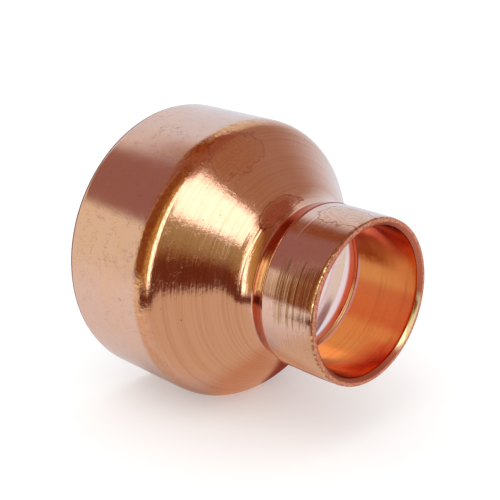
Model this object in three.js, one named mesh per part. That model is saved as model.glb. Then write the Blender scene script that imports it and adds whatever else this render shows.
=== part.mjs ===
// Concentric reducer: a one-piece copper fitting with a plain solder socket at each end.
// Lengths are in millimetres. The fitting's axis is X, with the small socket towards +X,
// and the origin is on the axis, halfway between the two mouths.
//
// The body is one wall of copper of even thickness, turned about its axis. Its section is
// worked out with `along`, the distance from the large mouth, and `radius`, from the axis.

import * as THREE from 'three';

// ---- Driving dimensions ----

const largeBore = 28.1;          // inside diameter of the large socket, for 28 mm tube
const smallBore = 15.1;          // inside diameter of the small socket, for 15 mm tube
const wall = 0.9;                // thickness of the metal

const largeSocketLength = 10.1;  // straight part of the large socket, from its mouth
const smallSocketDepth = 8.2;    // from the small mouth to the tube stop
const shoulderRadius = 3.2;      // outside rounding from the large socket to the cone
const coneAngle = THREE.MathUtils.degToRad(44);    // between the cone and the axis
const neckRadius = 5.2;          // outside hollow rounding from the cone to the neck
const neckEndAngle = THREE.MathUtils.degToRad(13.5); // slope left where the neck's rounding ends

const stopHeight = 0.3;          // how far the tube stop stands in from the small bore
const stopLipRadius = 0.12;      // rounding of the stop's inner edge
const stopRootRadius = 0.15;     // hollow rounding between the stop and the small bore

const swellLength = 1.5;         // outside, from the neck up to the small socket
const swellAngle = THREE.MathUtils.degToRad(24);   // steepest slope of the swell
const swellCornerRadius = 0.5;   // rounding from the swell to the small socket

const leadInDepth = 0.55;        // each mouth opens out slightly over this depth
const leadInRise = 0.1;          // and by this much in radius
const rimEdgeRadius = 0.14;      // rounding of each rim's outer edge

// ---- Smoothness ----

const segmentsAround = 96;
const shoulderSteps = 6;
const neckSteps = 6;
const swellSteps = 4;
const edgeSteps = 2;

// ---- Radii and places that follow from them ----

const largeInside = largeBore / 2;
const smallInside = smallBore / 2;
const largeOutside = largeInside + wall;
const smallOutside = smallInside + wall;
const throatRadius = smallInside - stopHeight;

// The shoulder and the neck are each a pair of arcs about one centre, a wall apart.
const shoulderCentre = {
  along: largeSocketLength,
  radius: largeOutside - shoulderRadius,
};
const neckCentreRadius = throatRadius + (neckRadius + wall) * Math.cos(neckEndAngle);
const coneDrop = shoulderCentre.radius - neckCentreRadius
  + (shoulderRadius + neckRadius) * Math.cos(coneAngle);
const neckCentre = {
  along: shoulderCentre.along + (shoulderRadius + neckRadius) * Math.sin(coneAngle)
    + coneDrop / Math.tan(coneAngle),
  radius: neckCentreRadius,
};

const neckEnd = pointOn(neckCentre, -neckRadius, neckEndAngle);
const throatEdge = pointOn(neckCentre, -(neckRadius + wall), neckEndAngle);
const stopFace = throatEdge.along + stopLipRadius;
const overallLength = stopFace + smallSocketDepth;

// ---- Helpers for the section ----

// A point of an arc. The angle is the slope of the surface there, counted from the axis,
// and a negative radius puts the point on the side of the centre that faces the axis.
function pointOn(centre, radius, slope) {
  return {
    along: centre.along + radius * Math.sin(slope),
    radius: centre.radius + radius * Math.cos(slope),
  };
}

function arc(centre, radius, fromSlope, toSlope, steps) {
  return Array.from({ length: steps + 1 }, (_, step) =>
    pointOn(centre, radius, THREE.MathUtils.lerp(fromSlope, toSlope, step / steps)));
}

// ---- The outside of the section, from the large mouth to the small one ----

function largeRimEdge() {
  const centre = { along: rimEdgeRadius, radius: largeOutside - rimEdgeRadius };
  return arc(centre, rimEdgeRadius, -Math.PI / 2, 0, edgeSteps);
}

function smallRimEdge() {
  const centre = {
    along: overallLength - rimEdgeRadius,
    radius: smallOutside - rimEdgeRadius,
  };
  return arc(centre, rimEdgeRadius, 0, Math.PI / 2, edgeSteps);
}

// Over the tube stop the neck swells to the small socket: a hollow curve that steepens
// from the neck's end, and a small rounded corner.
function swell() {
  const cornerCentre = {
    along: neckEnd.along + swellLength,
    radius: smallOutside - swellCornerRadius,
  };
  const corner = arc(cornerCentre, swellCornerRadius, -swellAngle, 0, edgeSteps);
  const foot = corner[0];
  const run = foot.along - neckEnd.along;
  const rise = foot.radius - neckEnd.radius;
  const steepening = THREE.MathUtils.clamp(run * Math.tan(swellAngle) / rise, 1, 3);
  const hollow = Array.from({ length: swellSteps - 1 }, (_, step) => {
    const share = (step + 1) / swellSteps;
    return {
      along: neckEnd.along + run * share,
      radius: neckEnd.radius + rise * share ** steepening,
    };
  });
  return [...hollow, ...corner];
}

function outside() {
  return [
    ...largeRimEdge(),
    ...arc(shoulderCentre, shoulderRadius, 0, coneAngle, shoulderSteps),
    ...arc(neckCentre, -neckRadius, coneAngle, neckEndAngle, neckSteps),
    ...swell(),
    ...smallRimEdge(),
  ];
}

// ---- The inside of the section, from the small mouth back to the large one ----

function tubeStop() {
  const rootCentre = {
    along: stopFace + stopRootRadius,
    radius: smallInside - stopRootRadius,
  };
  const lipCentre = {
    along: throatEdge.along,
    radius: throatRadius + stopLipRadius,
  };
  return [
    ...arc(rootCentre, stopRootRadius, 0, -Math.PI / 2, edgeSteps),
    ...arc(lipCentre, -stopLipRadius, -Math.PI / 2, 0, edgeSteps),
  ];
}

function inside() {
  return [
    { along: overallLength, radius: smallInside + leadInRise },
    { along: overallLength - leadInDepth, radius: smallInside },
    ...tubeStop(),
    ...arc(neckCentre, -(neckRadius + wall), neckEndAngle, coneAngle, neckSteps).slice(1),
    ...arc(shoulderCentre, shoulderRadius - wall, coneAngle, 0, shoulderSteps),
    { along: leadInDepth, radius: largeInside },
    { along: 0, radius: largeInside + leadInRise },
  ];
}

// ---- The body ----

function reducerBody() {
  const section = [...outside(), ...inside()];
  const profile = [...section, section[0]].map(
    ({ along, radius }) => new THREE.Vector2(radius, along - overallLength / 2));
  const geometry = new THREE.LatheGeometry(profile, segmentsAround);
  const copper = new THREE.MeshStandardMaterial({
    name: 'copper',
    color: 0xd98e6f,
    metalness: 1,
    roughness: 0.22,
  });
  const body = new THREE.Mesh(geometry, copper);
  body.name = 'reducer_body';
  body.rotation.z = -Math.PI / 2;  // the lathe turns about Y, and the fitting's axis is X
  return body;
}

const reducer = new THREE.Group();
reducer.name = 'concentric_reducer';
reducer.add(reducerBody());

export default reducer;
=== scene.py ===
import math

import bpy
import numpy as np
from mathutils import Matrix, Vector


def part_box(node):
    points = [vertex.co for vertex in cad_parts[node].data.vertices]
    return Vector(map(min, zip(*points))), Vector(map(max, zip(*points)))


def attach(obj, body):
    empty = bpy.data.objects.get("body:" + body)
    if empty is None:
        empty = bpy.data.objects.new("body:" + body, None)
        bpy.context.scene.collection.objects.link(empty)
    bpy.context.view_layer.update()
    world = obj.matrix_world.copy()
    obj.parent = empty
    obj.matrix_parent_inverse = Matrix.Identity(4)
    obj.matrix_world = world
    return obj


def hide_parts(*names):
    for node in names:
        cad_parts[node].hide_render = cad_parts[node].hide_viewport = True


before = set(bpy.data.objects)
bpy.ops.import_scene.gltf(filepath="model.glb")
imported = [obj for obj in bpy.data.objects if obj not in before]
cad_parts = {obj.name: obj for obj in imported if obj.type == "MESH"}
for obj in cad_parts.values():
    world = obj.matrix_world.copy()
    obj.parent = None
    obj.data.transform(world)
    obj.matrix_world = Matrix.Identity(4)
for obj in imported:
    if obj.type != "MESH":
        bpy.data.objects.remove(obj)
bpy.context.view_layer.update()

# The look of a copper reducing coupling: a skin turned on the CAD body's own section, with the wear of
# a real fitting and some painted shade and highlights, in a studio of soft cards. Lengths are in metres,
# in the CAD's frame. The axis is X, and the small socket is towards +X.

# ---- Sizes that follow from the frame ----

BODY = "reducer_body"
MM = 0.001
low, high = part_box(BODY)
centre = (low + high) / 2
diameter = high.z - low.z          # outside diameter of the large socket
floor_height = low.z               # the large rim touches the floor here

# ---- Fineness of the skin ----

AROUND = 240                       # segments round the axis
PLAIN_SPACING = 0.2 * MM           # between the section's points, where the outside is straight
TURNED_SPACING = 0.075 * MM        # between them where it slopes, and carries tool marks
INSIDE_SPACING = 0.3 * MM          # between them inside
SAME_PLACE = 0.001 * MM            # places nearer together than this count as one
SHARP_TURN = math.radians(35)      # corners that turn more than this keep an edge
SQUARE_TURN = math.radians(70)     # corners at the mouths that turn more than this are deburred
EDGE_SOFTNESS = 0.04 * MM          # how far such an edge's rounding reaches
CREASE_SOFTNESS = 0.09 * MM        # how far the rounding of the neck's crease reaches
FILLET_STEPS = 4                   # steps in each rounding

# ---- Small departures from a true turned surface, all cut into the CAD's skin ----

BEVEL_FACE = 0.26 * MM             # deburring of each bored edge, over the rim's face
BEVEL_BORE = 0.36 * MM             # deburring of each bored edge, along the bore
OUT_OF_TRUE = 0.009 * MM           # long waves left by pressing the tube to shape
TOOL_MARK = 0.0025 * MM            # depth of the rings round the cone
TOOL_PITCH = 0.34 * MM             # from one ring to the next
WORN_EDGE = 0.06 * MM              # how far the outer edge of each rim is worn down
NICK = 0.09 * MM                   # the deepest dents along those edges
SWELL = 1.5 * MM                   # the swell's length, from the neck's crease to the small socket
CROWN = 0.06 * MM                  # how far the small socket falls away towards both its ends
SEED = 28                          # of the random waves and dents

# ---- Fine relief in the copper's material, in micrometres ----

CONE_RINGS = 14.0                  # tool rings on the cone
SOCKET_RINGS = 22.0                # tool rings on the small socket
BORE_RINGS = 5.0                   # tool rings in the small bore
PLAIN_RINGS = 0.6                  # drawing marks everywhere
GRAIN = 3.0                        # grain of the drawn metal
SHOULDER_GRAIN = 19.0              # coarser grain that pressing brings up on the shoulder
CONE_GRAIN = 9.0                   # coarser grain on the cone
SAW_MARK = 18.0                    # saw marks on the rims
PIT = -4.0                         # specks and dents
SCRATCH = -1.5                     # scratches

# ---- Roughness of the copper ----

CLEAN = 0.08                       # of clean copper
CLOUDED = 0.1                      # the most that clouding adds
MARKED = 0.25                      # added by a speck or a scratch
SAWN = 0.3                         # added by the saw marks on the rims
BORED = 0.04                       # added in the small bore
OXIDISED = 0.35                    # added by oxide along the edges

# ---- Studio and camera ----

STUDIO_REACH = 10 * diameter       # from the fitting to the studio's cards
FARTHEST = 1.1                     # no card is farther than this, in reaches
FLOOR_GAP = 0.01                   # share of the axis's height by which cards keep off the floor
CARD_STEPS = 41                    # points along each side of a card
CAMERA_AZIMUTH = 45.23             # degrees from -Y towards +X
CAMERA_ELEVATION = 19.49           # degrees above the horizon
CAMERA_DISTANCE = 3.8296           # in diameters of the fitting
CAMERA_LENS = 79.76                # millimetres
CAMERA_SENSOR = 36                 # millimetres across
AIM_ABOVE = 0.0605                 # how far the camera aims above the centre, in diameters
AIM_LEFT = 0.0625                  # how far it aims to the left of it


# ---- The section: a closed line of places (along, radius) in the half-plane above the axis ----

def section_corners(node):
    """The corners of a node's section, in order from the large mouth."""
    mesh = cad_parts[node].data
    near = 0.0001 * MM
    places = [vertex.co for vertex in mesh.vertices]
    in_plane = [abs(place.y) < near and place.z > 0 for place in places]

    def corner(index):
        return round(places[index].x / near), round(places[index].z / near)

    next_to = {}
    for edge in mesh.edges:
        first, second = edge.vertices
        if in_plane[first] and in_plane[second] and corner(first) != corner(second):
            next_to.setdefault(corner(first), set()).add(corner(second))
            next_to.setdefault(corner(second), set()).add(corner(first))
    start = min(next_to)
    line = [start, max(next_to[start], key=lambda place: place[1])]
    while line[-1] != start:
        line.append(next(place for place in next_to[line[-1]] if place != line[-2]))
    return np.array(line[:-1]) * near


def unit_ways(corners):
    """The unit ways along the section into each of its corners and out of it."""
    ahead = np.roll(corners, -1, axis=0) - corners
    leaving = ahead / np.hypot(*ahead.T)[:, None]
    return np.roll(leaving, 1, axis=0), leaving


def at_a_mouth(place):
    """Whether a place of the section lies in the plane of either mouth."""
    return min(place[0] - low.x, high.x - place[0]) < 0.01 * MM


def bevelled(corners):
    """The section with the square bored edge of each mouth cut back to a small bevel."""
    def back_along(way):
        return way * (BEVEL_FACE if abs(way[1]) > abs(way[0]) else BEVEL_BORE)

    cut = []
    for here, arriving, leaving in zip(corners, *unit_ways(corners)):
        if at_a_mouth(here) and arriving @ leaving < math.cos(SQUARE_TURN):
            cut.extend((here - back_along(arriving), here + back_along(leaving)))
        else:
            cut.append(here)
    return np.array(cut)


def rounded_section(corners):
    """The section with each corner rounded off, and even spacings between them."""
    lengths = np.hypot(*(np.roll(corners, -1, axis=0) - corners).T)
    crease = neck_crease(corners)
    pieces = []
    for index, (here, arriving, leaving) in enumerate(zip(corners, *unit_ways(corners))):
        reach = min(lengths[index - 1], lengths[index]) / 2
        if arriving @ leaving < math.cos(SHARP_TURN):
            reach = min(reach, EDGE_SOFTNESS)
        if index == crease:
            reach = min(reach, CREASE_SOFTNESS)
        start, end = here - arriving * reach, here + leaving * reach
        for step in range(FILLET_STEPS + 1):
            share = step / FILLET_STEPS
            pieces.append((1 - share) ** 2 * start + 2 * share * (1 - share) * here + share ** 2 * end)
    pieces = np.array(pieces)
    apart = np.hypot(*(np.roll(pieces, -1, axis=0) - pieces).T) > SAME_PLACE
    return evenly_spaced(pieces[apart])


def evenly_spaced(line):
    """The section with its long stretches divided, finely where the outside slopes."""
    filled = []
    for here, ahead in zip(line, np.roll(line, -1, axis=0)):
        way = ahead - here
        length = np.hypot(*way)
        if way[0] < 0:
            spacing = INSIDE_SPACING
        elif abs(way[1]) > 0.1 * length:
            spacing = TURNED_SPACING
        else:
            spacing = PLAIN_SPACING
        parts = max(1, round(length / spacing))
        filled.extend(here + way * step / parts for step in range(parts))
    return np.array(filled)


def headings(line):
    """The unit way along the wall at each point of the section."""
    ahead = np.roll(line, -1, axis=0) - np.roll(line, 1, axis=0)
    return ahead / np.hypot(*ahead.T)[:, None]


def inside_of_wall(line):
    """Whether each point of the section lies on the bore's side of the wall."""
    return headings(line)[:, 0] < 0


def neck_crease(line):
    """The number of the point where the outside of the wall comes nearest to the axis."""
    outside = headings(line)[:, 0] > 0.5
    return int(np.argmin(np.where(outside, line[:, 1], np.inf)))


def outside_radius(along):
    """The outer radius of the wall at a place along the axis."""
    outer = ~inside_of_wall(section)
    order = np.argsort(section[outer, 0])
    return np.interp(along, section[outer, 0][order], section[outer, 1][order])


def ramp(values, start, end):
    """0 before the start, 1 after the end and a smooth rise between them."""
    share = np.clip((values - start) / (end - start), 0, 1)
    return share * share * (3 - 2 * share)


def between(values, rise, fall):
    """0 before the rise, 1 from its end to the start of the fall and 0 again after that."""
    return ramp(values, *rise) * (1 - ramp(values, *fall))


def wall_regions(line):
    """How far each point of the section belongs to each region of the wall, from 0 to 1.

    The slope is the sine of the wall's angle with the axis. The bore is the small socket's, the
    throat is the wall's inside just before it, and the lip is the tube stop's edge.
    """
    along, radius = line.T
    slope = np.abs(headings(line)[:, 1])
    inner = inside_of_wall(line).astype(float)
    outer = 1 - inner
    mouth_gap = np.minimum(along - low.x, high.x - along)
    past_crease = along - along[neck_crease(line)]
    rim = ramp(slope, 0.85, 0.97) * (1 - ramp(mouth_gap, 0.02 * MM, 0.1 * MM))
    bevel = ramp(slope, 0.3, 0.5) * (1 - ramp(mouth_gap, BEVEL_BORE, 1.3 * BEVEL_BORE))
    cone = between(slope, (0.1, 0.5), (0.75, 0.8)) * (1 - ramp(past_crease, 0, 0.3 * MM))
    shoulder = between(slope, (0.0, 0.12), (0.3, 0.66)) * (radius > 0.8 * high.z)
    return {
        "inside": inner,
        "bevel": inner * bevel,
        "bore": inner * ramp(past_crease, 0, 0.3 * MM) * (1 - bevel),
        "throat": inner * between(past_crease, (-1.5 * MM, -0.9 * MM), (0, 0.15 * MM)),
        "lip": inner * between(past_crease, (-0.24 * MM, -0.18 * MM), (-0.02 * MM, 0.04 * MM)),
        "rim": rim,
        "cone": outer * cone,
        "shoulder": outer * shoulder,
        "small_socket": outer * ramp(past_crease, 0, 0.3 * MM) * (1 - rim),
        "swell": outer * between(past_crease, (0, 0.15 * MM), (0.9 * SWELL, 1.15 * SWELL)),
        "edge": outer * (1 - ramp(mouth_gap, 0.1 * MM, 0.42 * MM)) * (1 - rim),
    }


# ---- The skin ----

def waves(turns, distance, random, lobes, spacing):
    """Seeded waves round and along the wall, between 0 and 1, one row for each distance."""
    total = np.zeros((len(distance), len(turns)))
    for lobe in lobes:
        phase, drift = random.uniform(0, 2 * math.pi, 2)
        sway = np.sin(2 * math.pi * distance / (spacing * random.uniform(0.7, 1.4)) + drift)
        total += np.sin(lobe * turns[None, :] + phase + 1.5 * sway[:, None])
    return 0.5 + 0.5 * total / len(lobes)


def tool_rings(turns, distance, random):
    """The rings that a tool leaves: two even pitches whose depth changes along and round the wall."""
    ring = 0.5 + 0.5 * np.sin(2 * math.pi * distance / TOOL_PITCH)
    ring += 0.5 * np.sin(2 * math.pi * distance / (TOOL_PITCH * 2.6) + 1)
    depth = 0.4 + waves(turns, distance, random, (1, 2, 4), 2 * MM)
    return ring[:, None] * depth


def crown(line):
    """How far the outside of the small socket lies under a straight one."""
    along = line[:, 0]
    start = line[neck_crease(line), 0] + SWELL
    share = np.clip((along - start) / (high.x - start), 0, 1)
    return CROWN * np.where(inside_of_wall(line) | (along < start), 0, (2 * share - 1) ** 2)


def departures(turns, line, distance, regions):
    """How far the real surface lies under the true one, one row for each point of the section."""
    random = np.random.default_rng(SEED)
    cut = OUT_OF_TRUE * waves(turns, distance, random, (2, 3, 5, 7), 9 * MM)
    cut *= (1 - regions["rim"])[:, None]
    cut += crown(line)[:, None]
    turned = regions["cone"] * (1 - regions["edge"])
    cut += TOOL_MARK * tool_rings(turns, distance, random) * turned[:, None]
    nicks = waves(turns, distance, random, (61, 47, 83, 109), 40 * MM) ** 3
    cut += (WORN_EDGE + NICK * nicks) * regions["edge"][:, None]
    return cut


def ring_faces(rings):
    """Faces that look outwards, from each of so many rings of points to the next, and back to the first."""
    faces = []
    for ring in range(rings):
        here, ahead = ring * AROUND, (ring + 1) % rings * AROUND
        for column in range(AROUND):
            beside = (column + 1) % AROUND
            faces.append((here + column, ahead + column, ahead + beside, here + beside))
    return faces


def keep_on_points(mesh, name, values, kind="FLOAT", field="value"):
    """Keeps a value for each point of the mesh, where a material can read it by name."""
    attribute = mesh.attributes.new(name, kind, "POINT")
    attribute.data.foreach_set(field, values.astype(np.float32).ravel())


def lathe(name, line):
    """A closed skin turned about the X axis, with its regions kept on its points for the material.

    Each point also keeps its unrolled place: the millimetres along the wall, and the sine and the
    cosine of its turn from the top.
    """
    turns = np.linspace(0, 2 * math.pi, AROUND, endpoint=False)
    stretch = np.hypot(*(np.roll(line, -1, axis=0) - line).T)
    distance = np.concatenate([[0], np.cumsum(stretch)[:-1]])
    regions = wall_regions(line)
    cut = departures(turns, line, distance, regions)
    heading = headings(line)
    along = line[:, 0][:, None] + heading[:, 1][:, None] * cut
    radius = line[:, 1][:, None] - heading[:, 0][:, None] * cut
    places = np.stack([along, radius * np.sin(turns), radius * np.cos(turns)], axis=-1)
    mesh = bpy.data.meshes.new(name)
    mesh.from_pydata(places.reshape(-1, 3), [], ring_faces(len(line)))
    mesh.validate()
    mesh.shade_smooth()
    for region, shares in regions.items():
        keep_on_points(mesh, region, np.repeat(shares, AROUND))
    unrolled = np.stack([
        np.repeat(distance / MM, AROUND),
        np.tile(np.sin(turns), len(line)),
        np.tile(np.cos(turns), len(line)),
    ], axis=-1)
    keep_on_points(mesh, "unrolled", unrolled, "FLOAT_VECTOR", "vector")
    piece = bpy.data.objects.new(name, mesh)
    bpy.context.scene.collection.objects.link(piece)
    return piece


# ---- Nodes ----

def node_material(name):
    material = bpy.data.materials.new(name)
    material.use_nodes = True
    material.node_tree.nodes.clear()
    return material, material.node_tree.nodes, material.node_tree.links


class Pattern:
    """Short ways to write the patterns of one material as nodes. Lengths are in millimetres."""

    def __init__(self, nodes, links):
        self.nodes = nodes
        self.links = links
        place = nodes.new("ShaderNodeTexCoord").outputs["Object"]
        self.place = self.scaled(place, (1 / MM,) * 3)
        self.from_mouth = self.less(high.x / MM, self.dot(self.place, (1, 0, 0)))
        self.unrolled = self.attribute("unrolled", "Vector")

    def put(self, socket, value):
        """Sets a socket's constant, or links it to another socket."""
        if isinstance(value, bpy.types.NodeSocket):
            self.links.new(value, socket)
        else:
            socket.default_value = value

    def attribute(self, name, output="Fac"):
        node = self.nodes.new("ShaderNodeAttribute")
        node.attribute_name = name
        return node.outputs[output]

    def operation(self, kind, operation, values):
        """The outputs of a new maths node of some kind."""
        node = self.nodes.new(kind)
        node.operation = operation
        for socket, value in zip(node.inputs, values):
            self.put(socket, value)
        return node.outputs

    def math(self, operation, *values):
        return self.operation("ShaderNodeMath", operation, values)["Value"]

    def times(self, first, *others):
        for other in others:
            first = self.math("MULTIPLY", first, other)
        return first

    def plus(self, first, *others):
        for other in others:
            first = self.math("ADD", first, other)
        return first

    def less(self, first, second):
        return self.math("SUBTRACT", first, second)

    def apart(self, first, second):
        return self.math("ABSOLUTE", self.less(first, second))

    def without(self, region, other):
        """The part of a region that isn't in another."""
        return self.times(region, self.less(1.0, other))

    def ramp(self, value, start, end):
        """0 before the start, 1 after the end, smooth between. It may run downwards."""
        node = self.nodes.new("ShaderNodeMapRange")
        node.interpolation_type = "SMOOTHSTEP"
        rising = end > start
        self.put(node.inputs["Value"], value)
        self.put(node.inputs["From Min"], min(start, end))
        self.put(node.inputs["From Max"], max(start, end))
        self.put(node.inputs["To Min"], 0.0 if rising else 1.0)
        self.put(node.inputs["To Max"], 1.0 if rising else 0.0)
        return node.outputs["Result"]

    def length(self, vector):
        return self.operation("ShaderNodeVectorMath", "LENGTH", (vector,))["Value"]

    def dot(self, first, second):
        return self.operation("ShaderNodeVectorMath", "DOT_PRODUCT", (first, second))["Value"]

    def scaled(self, vector, scale, shift=(0, 0, 0)):
        return self.operation("ShaderNodeVectorMath", "MULTIPLY_ADD", (vector, scale, shift))["Vector"]

    def noise(self, vector, scale, detail=2.0, distortion=0.0):
        node = self.nodes.new("ShaderNodeTexNoise")
        self.put(node.inputs["Vector"], vector)
        self.put(node.inputs["Scale"], scale)
        self.put(node.inputs["Detail"], detail)
        self.put(node.inputs["Distortion"], distortion)
        return node.outputs["Fac"]

    def cells(self, vector, scale):
        """The distance to the nearest of many scattered points, and a random value for each."""
        node = self.nodes.new("ShaderNodeTexVoronoi")
        self.put(node.inputs["Vector"], vector)
        self.put(node.inputs["Scale"], scale)
        return node.outputs["Distance"], node.outputs["Color"]

    def blend(self, share, first, second):
        node = self.nodes.new("ShaderNodeMix")
        node.data_type = "RGBA"
        self.put(node.inputs["Factor"], share)
        self.put(node.inputs["A"], first)
        self.put(node.inputs["B"], second)
        return node.outputs["Result"]


# ---- Colours of the copper ----

def rgba(red, green, blue):
    return red, green, blue, 1.0


COPPER = rgba(0.80, 0.50, 0.385)           # the outside, drawn
CONE_COPPER = rgba(0.80, 0.47, 0.34)       # the cone, worked harder and a little yellower
RING_COPPER = rgba(0.60, 0.30, 0.18)       # the darker rings round the cone
SOCKET_COPPER = rgba(0.81, 0.52, 0.42)     # the small socket
TAN_COPPER = rgba(0.83, 0.49, 0.32)        # where handling has warmed it
PINK_COPPER = rgba(0.77, 0.50, 0.42)       # where pickling has left it paler
STAINED = rgba(0.70, 0.30, 0.13)           # oil and heat tint over the shoulder
AMBER_SHEEN = rgba(0.86, 0.52, 0.16)             # amber patches on the -Y side: a painted golden sheen beside the shoulder's highlight
DRIED = rgba(0.36, 0.12, 0.06)             # the outline of a dried drop
OILED = rgba(0.74, 0.34, 0.18)             # inside the outline of an oily drop
SCORCHED = rgba(0.66, 0.25, 0.14)          # inside a drop where the metal was heated
SHADE_SPOT = rgba(0.34, 0.05, 0.02)             # painted shade: a dark spot in the swell's hollow, drawn as a drop
SWELL_SHADE = rgba(0.54, 0.08, 0.015)       # painted shade: the deep red of the copper reflecting itself in the hollow before the small socket
RUBBED_AND_HIGHLIT = rgba(0.97, 0.74, 0.38)            # edges rubbed bright, and the colour of painted highlights on the swell, the lip and the bevels
INSIDE = rgba(0.87, 0.72, 0.71)            # the inside of the cone and the large socket, paler and pinker
BORE = rgba(0.92, 0.35, 0.09)              # the bore of the small socket, redder
PAINTED_BORE_SHADE = rgba(0.76, 0.11, 0.035)        # painted shade: the deeper red of the bore where it reflects itself
THROAT_SHADE_AND_BANDS = rgba(0.62, 0.09, 0.03)       # painted shade by the tube stop, and the faint dark bands along the bore
CUT_COPPER = rgba(0.58, 0.18, 0.11)        # the sawn faces of the rims, dull
GROUND_COPPER = rgba(0.82, 0.40, 0.26)     # brighter grains on those faces
WORN_COPPER = rgba(0.30, 0.11, 0.06)       # dark oxide beside the bright edge of the small rim
BLACKENED = rgba(0.12, 0.05, 0.03)         # darker oxide all along the edge of the large rim
REFLECTED_BROWN = rgba(0.42, 0.23, 0.08)           # painted reflection: brown streaks along the tool rings on the small socket
SPECK = rgba(0.36, 0.17, 0.10)             # specks and scratches


# ---- Patterns of the copper. Turns are in degrees from the top of the fitting towards +Y ----

def scattered_specks(pattern, scale, share, size):
    """Small round marks in some of the cells, and in more of them for a greater share.

    The size is a mark's radius over that of a cell.
    """
    distance, number = pattern.cells(pattern.place, scale)
    chosen = pattern.math("LESS_THAN", number, share)
    return pattern.times(chosen, pattern.ramp(distance, size, size * 0.4))


def scratches(pattern, stretch, scale, share):
    """Thin marks along one way, from the crests of a stretched noise. A greater share makes more."""
    field = pattern.noise(pattern.scaled(pattern.place, stretch), scale, 1.0, 0.4)
    where = pattern.ramp(pattern.noise(pattern.place, 0.9, 1.0), 0.62 - share, 0.75 - share)
    return pattern.times(pattern.ramp(pattern.apart(field, 0.5), 0.012, 0.0), where)


def banded(pattern, along, around, detail):
    """A pattern of so many bands for each millimetre along the wall, which changes slowly round it."""
    return pattern.noise(pattern.scaled(pattern.unrolled, (along, around, around)), 1.0, detail)


def facing(pattern, turn, width):
    """1 within half a width of a turn and 0 beyond a width from it, to either side."""
    turn = math.radians(turn)
    share = pattern.dot(pattern.unrolled, (0, math.sin(turn), math.cos(turn)))
    return pattern.ramp(share, math.cos(math.radians(width)), math.cos(math.radians(width / 2)))


def dried_drop(pattern, base, tint, from_mouth, turn, reach, fill=0.85, strength=1.0):
    """The colour with a dried drop's stain over it: a tint, a ragged dark outline and faint rings.

    Its middle lies so many millimetres back from the small mouth and at a turn, and reach holds its
    half length and half width. Fill is the share of the tint, and strength that of the outline and
    the rings.
    """
    along = high.x / MM - from_mouth
    radius = outside_radius(along * MM) / MM
    middle = (along, radius * math.sin(math.radians(turn)), radius * math.cos(math.radians(turn)))
    sizes = (reach[0], reach[1], reach[1])
    away = pattern.scaled(pattern.place, tuple(1 / size for size in sizes),
                          tuple(-place / size for place, size in zip(middle, sizes)))
    ragged = pattern.times(pattern.noise(pattern.place, 0.7, 3.0), 1.1)
    distance = pattern.plus(pattern.length(away), ragged)
    end = 1.5
    inside = pattern.ramp(distance, end, end - 0.12)
    outline = pattern.ramp(pattern.apart(distance, end), 0.08, 0.0)
    rings = pattern.ramp(pattern.math("SINE", pattern.times(distance, 26.0)), -0.4, 1.0)
    base = pattern.blend(pattern.times(inside, fill), base, tint)
    base = pattern.blend(pattern.times(inside, rings, 0.3 * strength), base, DRIED)
    return pattern.blend(pattern.times(outline, strength), base, DRIED)


# ---- The copper's material ----

def bare_outside(pattern, regions):
    """Bare copper: tan and pink patches, and a tone for each part of the fitting."""
    large = pattern.noise(pattern.place, 0.16, 3.0, 0.3)
    small = pattern.noise(pattern.place, 1.3, 3.0)
    base = pattern.blend(pattern.ramp(large, 0.42, 0.62), PINK_COPPER, TAN_COPPER)
    base = pattern.blend(pattern.ramp(small, 0.25, 0.6), base, COPPER)
    base = pattern.blend(pattern.times(regions["cone"], 0.8), base, CONE_COPPER)
    rings = pattern.ramp(banded(pattern, 5.5, 0.5, 1.5), 0.45, 0.7)
    base = pattern.blend(pattern.times(regions["cone"], rings, 0.35), base, RING_COPPER)
    return pattern.blend(pattern.times(regions["small_socket"], 0.8), base, SOCKET_COPPER)


def shoulder_stain_and_sheen(pattern, regions, base):
    """The colour with the stain over the shoulder, and amber patches of painted sheen towards -Y."""
    sheen_patches = pattern.ramp(pattern.noise(pattern.place, 2.1, 3.0), 0.44, 0.62)
    # Painted sheen: amber patches only towards -Y, beside the shoulder's highlight
    stain = pattern.blend(pattern.times(sheen_patches, facing(pattern, -45, 62)), STAINED, AMBER_SHEEN)
    patchy = pattern.ramp(pattern.noise(pattern.place, 1.3, 3.0), 0.3, 0.62)
    cover = pattern.times(regions["shoulder"], pattern.plus(0.35, pattern.times(patchy, 0.5)))
    return pattern.blend(cover, base, stain)


def reflected_brown_rings(pattern, regions, base):
    """The colour with a painted reflection, brown along the tool rings on the small socket's -Y side.

    Each ring starts and ends at a turn of its own, because the rings' pattern and the side's share
    are added together before the ramp.
    """
    # Painted reflection: brown streaks on the -Y side, along the rings
    uneven = pattern.plus(facing(pattern, -74, 31), pattern.times(banded(pattern, 4.2, 0.6, 1.8), 2.0))
    rings = pattern.times(regions["small_socket"], pattern.ramp(pattern.from_mouth, 5.4, 4.0),
                          pattern.ramp(uneven, 1.85, 2.2))
    return pattern.blend(pattern.times(rings, 0.8), base, REFLECTED_BROWN)


def swell_shade_and_glint(pattern, regions, base):
    """The colour with painted shade in the hollow of the swell, and a painted glint in one place."""
    # Painted shade over the whole hollow of the swell
    base = pattern.blend(regions["swell"], base, SWELL_SHADE)
    # Painted glint: a bright gold patch on one side of the swell's hollow
    painted_glint = pattern.times(regions["swell"], facing(pattern, -69, 19),
                           pattern.ramp(pattern.from_mouth, 7.9, 7.5),
                           pattern.ramp(pattern.from_mouth, 6.4, 6.8))
    return pattern.blend(painted_glint, base, RUBBED_AND_HIGHLIT)


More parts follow.
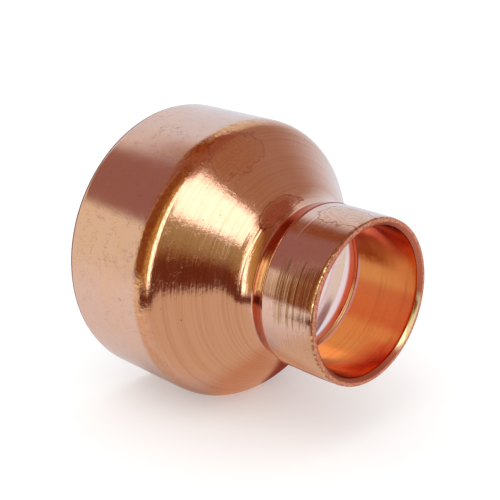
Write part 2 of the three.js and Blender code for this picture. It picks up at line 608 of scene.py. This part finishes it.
def outside_colour(pattern, regions):
    """The outside, with its stains, three dried drops and a painted dark spot of shade drawn as a fourth.
    """
    base = bare_outside(pattern, regions)
    base = shoulder_stain_and_sheen(pattern, regions, base)
    base = swell_shade_and_glint(pattern, regions, base)
    base = reflected_brown_rings(pattern, regions, base)
    base = dried_drop(pattern, base, OILED, 14.7, -17, (1.9, 3.6), fill=0.34, strength=0.4)
    base = dried_drop(pattern, base, SCORCHED, 9.3, -23, (0.9, 3.1), fill=0.4, strength=0.8)
    # A painted dark spot of shade in the swell's hollow, drawn as a drop with an outline
    base = dried_drop(pattern, base, SHADE_SPOT, 7.0, -85, (0.6, 0.85))
    return dried_drop(pattern, base, TAN_COPPER, 2.4, -6, (3.6, 1.9), fill=0.6, strength=0.7)


def bore_colour(pattern):
    """The small socket's bore, reddest along its top, on the floor near its mouth and on one side."""
    upright = pattern.dot(pattern.unrolled, (0, 0, 1))
    ragged = pattern.times(pattern.noise(pattern.place, 0.35, 2.0), 0.6)
    above = pattern.ramp(pattern.plus(upright, ragged), 0.5, 0.95)
    near_mouth = pattern.ramp(pattern.from_mouth, 5.2, 1.4)
    below = pattern.times(pattern.ramp(pattern.less(upright, ragged), -0.98, -1.25), near_mouth)
    beside = pattern.times(facing(pattern, 117, 20), 0.6)
    # Painted shade: the bore deeper red along its top, on its floor near the mouth and on one side
    painted_shade = pattern.math("MAXIMUM", pattern.math("MAXIMUM", above, below), beside)
    bands = pattern.ramp(banded(pattern, 2.4, 0.8, 2.5), 0.5, 0.75)
    bore = pattern.blend(painted_shade, BORE, PAINTED_BORE_SHADE)
    return pattern.blend(pattern.times(bands, 0.3), bore, THROAT_SHADE_AND_BANDS)


def inside_colour(pattern, regions):
    """The inside: painted shade in the throat and a painted highlight on one side of the tube stop's lip.
    """
    base = pattern.blend(regions["bore"], INSIDE, bore_colour(pattern))
    # Painted shade: the throat deep red by the tube stop
    base = pattern.blend(regions["throat"], base, THROAT_SHADE_AND_BANDS)
    # Painted highlight on the tube stop's lip, strongest towards one side
    rubbed_and_highlit = pattern.plus(0.12, pattern.times(facing(pattern, 138, 36), 0.88))
    return pattern.blend(pattern.times(regions["lip"], rubbed_and_highlit), base, RUBBED_AND_HIGHLIT)


def copper_colour(pattern, regions, polished_and_highlit, marks):
    """The outside and the inside, the oxide and the shine of the edges, the sawn rims and the marks."""
    base = pattern.blend(regions["inside"], outside_colour(pattern, regions),
                         inside_colour(pattern, regions))
    base = pattern.blend(pattern.without(regions["bevel"], polished_and_highlit), base, CUT_COPPER)
    # Rubbed beads round the small rim, and a painted highlight along one side of the bored edges
    rubbed_and_highlit = pattern.times(pattern.plus(regions["edge"], regions["bevel"]), polished_and_highlit)
    base = pattern.blend(rubbed_and_highlit, base, RUBBED_AND_HIGHLIT)
    oxide = pattern.blend(regions["small_socket"], BLACKENED, WORN_COPPER)
    base = pattern.blend(pattern.without(regions["edge"], polished_and_highlit), base, oxide)
    grains = pattern.ramp(pattern.noise(pattern.place, 4.0, 2.0), 0.35, 0.65)
    base = pattern.blend(regions["rim"], base, pattern.blend(grains, CUT_COPPER, GROUND_COPPER))
    return pattern.blend(marks, base, SPECK)


def polished_and_highlit_edges(pattern, regions):
    """How far the edges shine: rubbed beads round the small rim, and a painted highlight on one side of the
    bevels.
    """
    beads = pattern.ramp(pattern.noise(pattern.place, 3.4, 1.0), 0.5, 0.58)
    return pattern.blend(regions["bevel"], pattern.times(beads, regions["small_socket"]),
                         facing(pattern, 122, 26))


def copper_roughness(pattern, regions, polished_and_highlit, marks):
    """Clean copper's roughness, and what clouding, marks, sawing, boring and oxide add to it."""
    cloudy = pattern.noise(pattern.place, 0.6, 3.0)
    oxide = pattern.plus(pattern.without(regions["edge"], polished_and_highlit),
                         pattern.without(regions["bevel"], polished_and_highlit))
    return pattern.plus(CLEAN, pattern.times(cloudy, CLOUDED), pattern.times(marks, MARKED),
                        pattern.times(regions["rim"], SAWN), pattern.times(regions["bore"], BORED),
                        pattern.times(oxide, OXIDISED))


def copper_height(pattern, regions, pits, lines):
    """The fine relief, in micrometres."""
    past_swell = pattern.ramp(pattern.from_mouth, 5.9, 4.6)
    turned = pattern.plus(pattern.times(regions["cone"], CONE_RINGS),
                          pattern.times(regions["small_socket"], past_swell, SOCKET_RINGS),
                          pattern.times(regions["bore"], BORE_RINGS), PLAIN_RINGS)
    fine = pattern.times(banded(pattern, 9.0, 1.5, 1.0), 0.25)
    rings = pattern.plus(banded(pattern, 3.1, 0.7, 2.5), fine)
    grain = pattern.noise(pattern.place, 7.0, 2.0)
    pressed = pattern.noise(pattern.place, 2.6, 3.0)
    coarseness = pattern.plus(pattern.times(regions["shoulder"], SHOULDER_GRAIN),
                              pattern.times(regions["cone"], CONE_GRAIN))
    sawn = pattern.noise(pattern.scaled(pattern.place, (1, 9, 2)), 1.0, 3.0)
    return pattern.plus(pattern.times(rings, turned), pattern.times(grain, GRAIN),
                        pattern.times(pressed, coarseness),
                        pattern.times(regions["rim"], sawn, SAW_MARK),
                        pattern.times(pits, PIT), pattern.times(lines, SCRATCH))


def copper_material():
    """The copper, with its colour, roughness and fine relief drawn on the skin's regions."""
    material, nodes, links = node_material("copper")
    pattern = Pattern(nodes, links)
    regions = {name: pattern.attribute(name) for name in wall_regions(section)}

    specks = pattern.plus(scattered_specks(pattern, 2.2, 0.22, 0.16),
                          scattered_specks(pattern, 0.9, 0.25, 0.1))
    sloping = pattern.plus(regions["cone"], regions["shoulder"])
    dents = pattern.times(scattered_specks(pattern, 1.6, 0.2, 0.15), sloping, 2.5)  # these glint
    lines = pattern.plus(scratches(pattern, (0.25, 1, 1), 2.0, 0.16),
                         scratches(pattern, (1, 0.3, 0.9), 2.2, 0.14))
    dark = pattern.plus(pattern.times(specks, 0.8),
                        pattern.times(pattern.without(lines, regions["cone"]), 0.5))
    marks = pattern.math("MINIMUM", pattern.without(dark, regions["inside"]), 1.0)
    polished_and_highlit = polished_and_highlit_edges(pattern, regions)

    metal = nodes.new("ShaderNodeBsdfPrincipled")
    metal.inputs["Metallic"].default_value = 1.0
    links.new(copper_colour(pattern, regions, polished_and_highlit, marks), metal.inputs["Base Color"])
    links.new(copper_roughness(pattern, regions, polished_and_highlit, marks), metal.inputs["Roughness"])
    bump = nodes.new("ShaderNodeBump")
    bump.inputs["Strength"].default_value = 1.0
    bump.inputs["Distance"].default_value = 0.001 * MM
    height = copper_height(pattern, regions, pattern.plus(specks, dents), lines)
    links.new(height, bump.inputs["Height"])
    links.new(bump.outputs["Normal"], metal.inputs["Normal"])
    output = nodes.new("ShaderNodeOutputMaterial")
    links.new(metal.outputs[0], output.inputs["Surface"])
    return material


# ---- Studio cards: east is the turn from +X towards +Y and north the height, both in degrees ----

def direction(east, north):
    """A unit vector that way from the centre."""
    east, north = math.radians(east), math.radians(north)
    return Vector((math.cos(east) * math.cos(north), math.sin(east) * math.cos(north), math.sin(north)))


def card_material(name, colour, strength, bounces):
    """Light of one colour that fades with the card's cover, seen after that many reflections or more."""
    material, nodes, links = node_material(name)
    output = nodes.new("ShaderNodeOutputMaterial")
    glow = nodes.new("ShaderNodeEmission")
    glow.inputs["Color"].default_value = (*colour, 1)
    glow.inputs["Strength"].default_value = strength
    clear = nodes.new("ShaderNodeBsdfTransparent")
    cover = nodes.new("ShaderNodeAttribute")
    cover.attribute_name = "cover"
    enough = nodes.new("ShaderNodeMath")
    enough.operation = "GREATER_THAN"
    links.new(nodes.new("ShaderNodeLightPath").outputs["Ray Depth"], enough.inputs[0])
    enough.inputs[1].default_value = bounces - 0.5
    share = nodes.new("ShaderNodeMath")
    share.operation = "MULTIPLY"
    links.new(cover.outputs["Fac"], share.inputs[0])
    links.new(enough.outputs[0], share.inputs[1])
    mix = nodes.new("ShaderNodeMixShader")
    links.new(share.outputs[0], mix.inputs["Fac"])
    links.new(clear.outputs[0], mix.inputs[1])
    links.new(glow.outputs[0], mix.inputs[2])
    links.new(mix.outputs[0], output.inputs["Surface"])
    return material


def card_from(name, places, cover, colour, strength, bounces=1):
    """A card seen only in reflections, from a grid of places and of how far each covers."""
    rows, columns = cover.shape
    faces = [(i * columns + j, i * columns + j + 1, (i + 1) * columns + j + 1, (i + 1) * columns + j)
             for i in range(rows - 1) for j in range(columns - 1)]
    mesh = bpy.data.meshes.new(name)
    mesh.from_pydata(places, [], faces)
    keep_on_points(mesh, "cover", cover.ravel())
    mesh.materials.append(card_material(name, colour, strength, bounces))
    sheet = bpy.data.objects.new(name, mesh)
    bpy.context.scene.collection.objects.link(sheet)
    sheet.visible_camera = False
    sheet.visible_diffuse = False
    sheet.visible_shadow = False
    sheet.visible_transmission = False


def faded(values, ends, fades):
    """1 between the two ends, falling smoothly to 0 at each over its fade. A fade of 0 is a hard edge."""
    shares = np.ones_like(values)
    if fades[0]:
        shares = np.minimum(shares, ramp(values, ends[0], ends[0] + fades[0]))
    if fades[1]:
        shares = np.minimum(shares, ramp(-values, -ends[1], -ends[1] + fades[1]))
    return shares


def above_floor(towards, reach):
    """The place so many studio reaches from the centre, or just over the floor if that comes first.

    Where two cards come down to the floor, the nearer one lies on top.
    """
    distance = reach * STUDIO_REACH
    if towards.z < 0:
        height = (centre.z - floor_height) * (1 - FLOOR_GAP * (FARTHEST - reach))
        distance = min(distance, height / -towards.z)
    return centre + distance * towards


def panel(name, reach, east, north, colour, east_fade, north_fade, strength=1.0, rise=0, bounces=1):
    """A curved card between two directions east and two heights north, rising to the east."""
    easts, norths = np.linspace(*east, CARD_STEPS), np.linspace(*north, CARD_STEPS)
    rises = np.linspace(0, rise, CARD_STEPS)
    places = [above_floor(direction(e, n + r), reach) for n in norths for e, r in zip(easts, rises)]
    cover = np.outer(faded(norths, north, north_fade), faded(easts, east, east_fade))
    card_from(name, places, cover, colour, strength, bounces)


def strip(name, start, end, width, colour, strength, end_fade, side_fade):
    """A flat card that faces the fitting, with its ends at two places (east, north, distance).

    The distances and the width are in diameters of the fitting, and the fades are shares of the
    card's length and width.
    """
    start, end = (direction(east, north) * distance * diameter for east, north, distance in (start, end))
    shares = np.linspace(0, 1, CARD_STEPS)
    side = start.cross(end).normalized() * width * diameter
    places = [centre + start.lerp(end, length) + side * (across - 0.5)
              for length in shares for across in shares]
    cover = np.outer(faded(shares, (0, 1), (end_fade, end_fade)),
                     faded(shares, (0, 1), (side_fade, side_fade)))
    card_from(name, places, cover, colour, strength)


def add_cards():
    """The photographer's room, as the copper shows it. A nearer card covers a farther one."""
    # The room: cool light behind on the right, warm light behind on the left, and dim reddish walls
    panel("cool_right", 1.06, (75, 180), (-15, 46), (0.8, 0.9, 1.02), (15, 20), (10, 8))
    panel("room_right", 1.05, (-20, 125), (-12, 90), (0.43, 0.27, 0.21), (10, 35), (52, 0))
    panel("warm_left", 1.04, (-205, -131), (-24, 20), (0.87, 0.84, 0.68), (25, 0), (22, 0))
    panel("inner_left", 1.03, (-205, -158), (-35, 18), (0.9, 0.84, 0.86), (12, 6), (10, 4))
    panel("room_top", 1.02, (-205, 155), (57, 90), (0.36, 0.15, 0.1), (0, 0), (10, 0))
    panel("back_top", 1.01, (135, 205), (41, 90), (0.29, 0.09, 0.035), (30, 12), (5, 0))
    panel("warm_top", 1.0, (-60, 75), (52, 72), (0.43, 0.25, 0.155), (20, 25), (4, 10))
    panel("room_left", 0.99, (-182, -131), (17, 73), (0.35, 0.18, 0.16), (14, 4), (5, 10))
    panel("room_front", 0.98, (-133, -38), (-10, 80), (0.28, 0.1, 0.04), (2.5, 6), (4, 10))
    panel("warm_table", 0.97, (-104, 0), (-85, -8), (0.7, 0.56, 0.42), (20, 15), (0, 4))
    panel("gold_wall", 0.94, (-84, -34), (2, 44), (0.42, 0.33, 0.14), (6, 6), (22, 6))
    panel("gold_edge", 0.9, (-131.2, -126), (-8, 24), (0.36, 0.22, 0.08), (2, 3), (4, 6))
    # Dark flags low in front of the fitting
    panel("front_flag", 0.8, (-84, -30), (-23.5, -1), (0.15, 0.035, 0.015), (6, 6), (2, 8), rise=20)
    panel("side_flag", 0.78, (-114, -70), (-22.5, -8), (0.15, 0.03, 0.01), (8, 5), (2, 8), rise=3)
    # What the hollows and the bore show only after a second reflection
    panel("hollow_light", 0.76, (-137, -114), (-13, 34), (1, 0.93, 0.8), (2, 4), (3, 8),
          strength=1.3, bounces=2)
    panel("bore_shade", 0.755, (-205, -148), (-62, -33), (0.5, 0.38, 0.32), (8, 6), (2, 6), bounces=2)
    panel("hollow_shade", 0.75, (-137, -108), (-24, -11), (0.16, 0.03, 0.02), (3, 4), (3, 2), bounces=2)
    # Shade on the table, under the fitting and behind it
    panel("under_shade", 0.74, (-180, 180), (-90, -60), (0.62, 0.36, 0.23), (0, 0), (0, 16))
    panel("back_shade", 0.73, (30, 150), (-84, -34), (0.25, 0.05, 0.035), (12, 8), (8, 6))
    # The lights: a softbox, and a narrow strip in front of its own golden glow
    panel("softbox", 0.7, (-50, -7), (30, 61), (1, 1, 0.92), (3, 8), (3, 8), strength=2.2)
    strip("strip_glow", (-94, -13, 1.8), (-68, 62, 2.95), 0.8, (0.55, 0.35, 0.09), 1, 0.12, 0.45)
    strip("strip_light", (-84.5, -13, 1.68), (-50, 62, 2.85), 0.28, (1, 0.99, 0.85), 3.0, 0.1, 0.35)


# ---- Backdrop, floor, lamp and camera ----

def ray_strength(nodes, links, to_camera, in_metal, elsewhere):
    """A strength for rays from the camera or through glass, one for reflections and one for the rest."""
    path = nodes.new("ShaderNodeLightPath")
    strength = elsewhere
    kinds = (
        ("Is Glossy Ray", in_metal),
        ("Is Transmission Ray", to_camera),
        ("Is Camera Ray", to_camera),
    )
    for kind, value in kinds:
        choice = nodes.new("ShaderNodeMix")
        choice.inputs["B"].default_value = value
        if isinstance(strength, bpy.types.NodeSocket):
            links.new(strength, choice.inputs["A"])
        else:
            choice.inputs["A"].default_value = strength
        links.new(path.outputs[kind], choice.inputs["Factor"])
        strength = choice.outputs["Result"]
    return strength


def white_backdrop():
    """White to the camera and through glass, pale in metal, and a soft fill on the floor."""
    world = bpy.data.worlds.new("backdrop")
    bpy.context.scene.world = world
    world.use_nodes = True
    nodes, links = world.node_tree.nodes, world.node_tree.links
    nodes.clear()
    output = nodes.new("ShaderNodeOutputWorld")
    back = nodes.new("ShaderNodeBackground")
    back.inputs["Color"].default_value = (1, 1, 1, 1)
    strength = ray_strength(nodes, links, to_camera=1.0, in_metal=0.84, elsewhere=0.95)
    links.new(strength, back.inputs["Strength"])
    links.new(back.outputs[0], output.inputs["Surface"])


def add_floor():
    """White paper, lifted a little for the camera so that only the fitting's own shadow shows on it."""
    size = 40 * diameter
    z = floor_height
    mesh = bpy.data.meshes.new("floor")
    mesh.from_pydata([(-size, -size, z), (size, -size, z), (size, size, z), (-size, size, z)],
                     [], [(0, 1, 2, 3)])
    material, nodes, links = node_material("floor")
    output = nodes.new("ShaderNodeOutputMaterial")
    paper = nodes.new("ShaderNodeBsdfDiffuse")
    paper.inputs["Color"].default_value = (0.8, 0.8, 0.8, 1)
    glow = nodes.new("ShaderNodeEmission")
    strength = ray_strength(nodes, links, to_camera=0.3, in_metal=0.05, elsewhere=0.0)
    links.new(strength, glow.inputs["Strength"])
    both = nodes.new("ShaderNodeAddShader")
    links.new(paper.outputs[0], both.inputs[0])
    links.new(glow.outputs[0], both.inputs[1])
    links.new(both.outputs[0], output.inputs["Surface"])
    mesh.materials.append(material)
    floor = bpy.data.objects.new("floor", mesh)
    bpy.context.scene.collection.objects.link(floor)


def add_lamp(name, towards, distance, size, power):
    """A square lamp that faces the fitting and isn't seen in it."""
    lamp = bpy.data.lights.new(name, "AREA")
    lamp.size = size
    lamp.energy = power
    holder = bpy.data.objects.new(name, lamp)
    holder.location = centre + towards * distance
    holder.rotation_euler = towards.to_track_quat("Z", "Y").to_euler()
    holder.visible_glossy = False
    bpy.context.scene.collection.objects.link(holder)


def add_camera():
    """The photograph's view: from beside and a little above the small socket's mouth."""
    azimuth, elevation = math.radians(CAMERA_AZIMUTH), math.radians(CAMERA_ELEVATION)
    back = Vector((math.sin(azimuth) * math.cos(elevation),
                   -math.cos(azimuth) * math.cos(elevation),
                   math.sin(elevation)))
    right = Vector((math.cos(azimuth), math.sin(azimuth), 0))
    up = back.cross(right)
    aim = centre + diameter * (AIM_ABOVE * up - AIM_LEFT * right)
    data = bpy.data.cameras.new("camera")
    data.sensor_width = CAMERA_SENSOR
    data.lens = CAMERA_LENS
    data.clip_start = diameter / 100
    camera = bpy.data.objects.new("camera", data)
    place = aim + CAMERA_DISTANCE * diameter * back
    camera.matrix_world = Matrix.Translation(place) @ Matrix((right, up, back)).transposed().to_4x4()
    bpy.context.scene.collection.objects.link(camera)
    bpy.context.scene.camera = camera


# ---- The scene ----

section = rounded_section(bevelled(section_corners(BODY)))
skin = lathe("reducer_skin", section)
skin.data.materials.append(copper_material())
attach(skin, "root")
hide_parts(BODY)

white_backdrop()
add_floor()
add_cards()
add_lamp("key", direction(-70, 60), distance=8 * diameter, size=5 * diameter, power=0.08)
add_camera()

bpy.context.scene.view_settings.view_transform = "Standard"
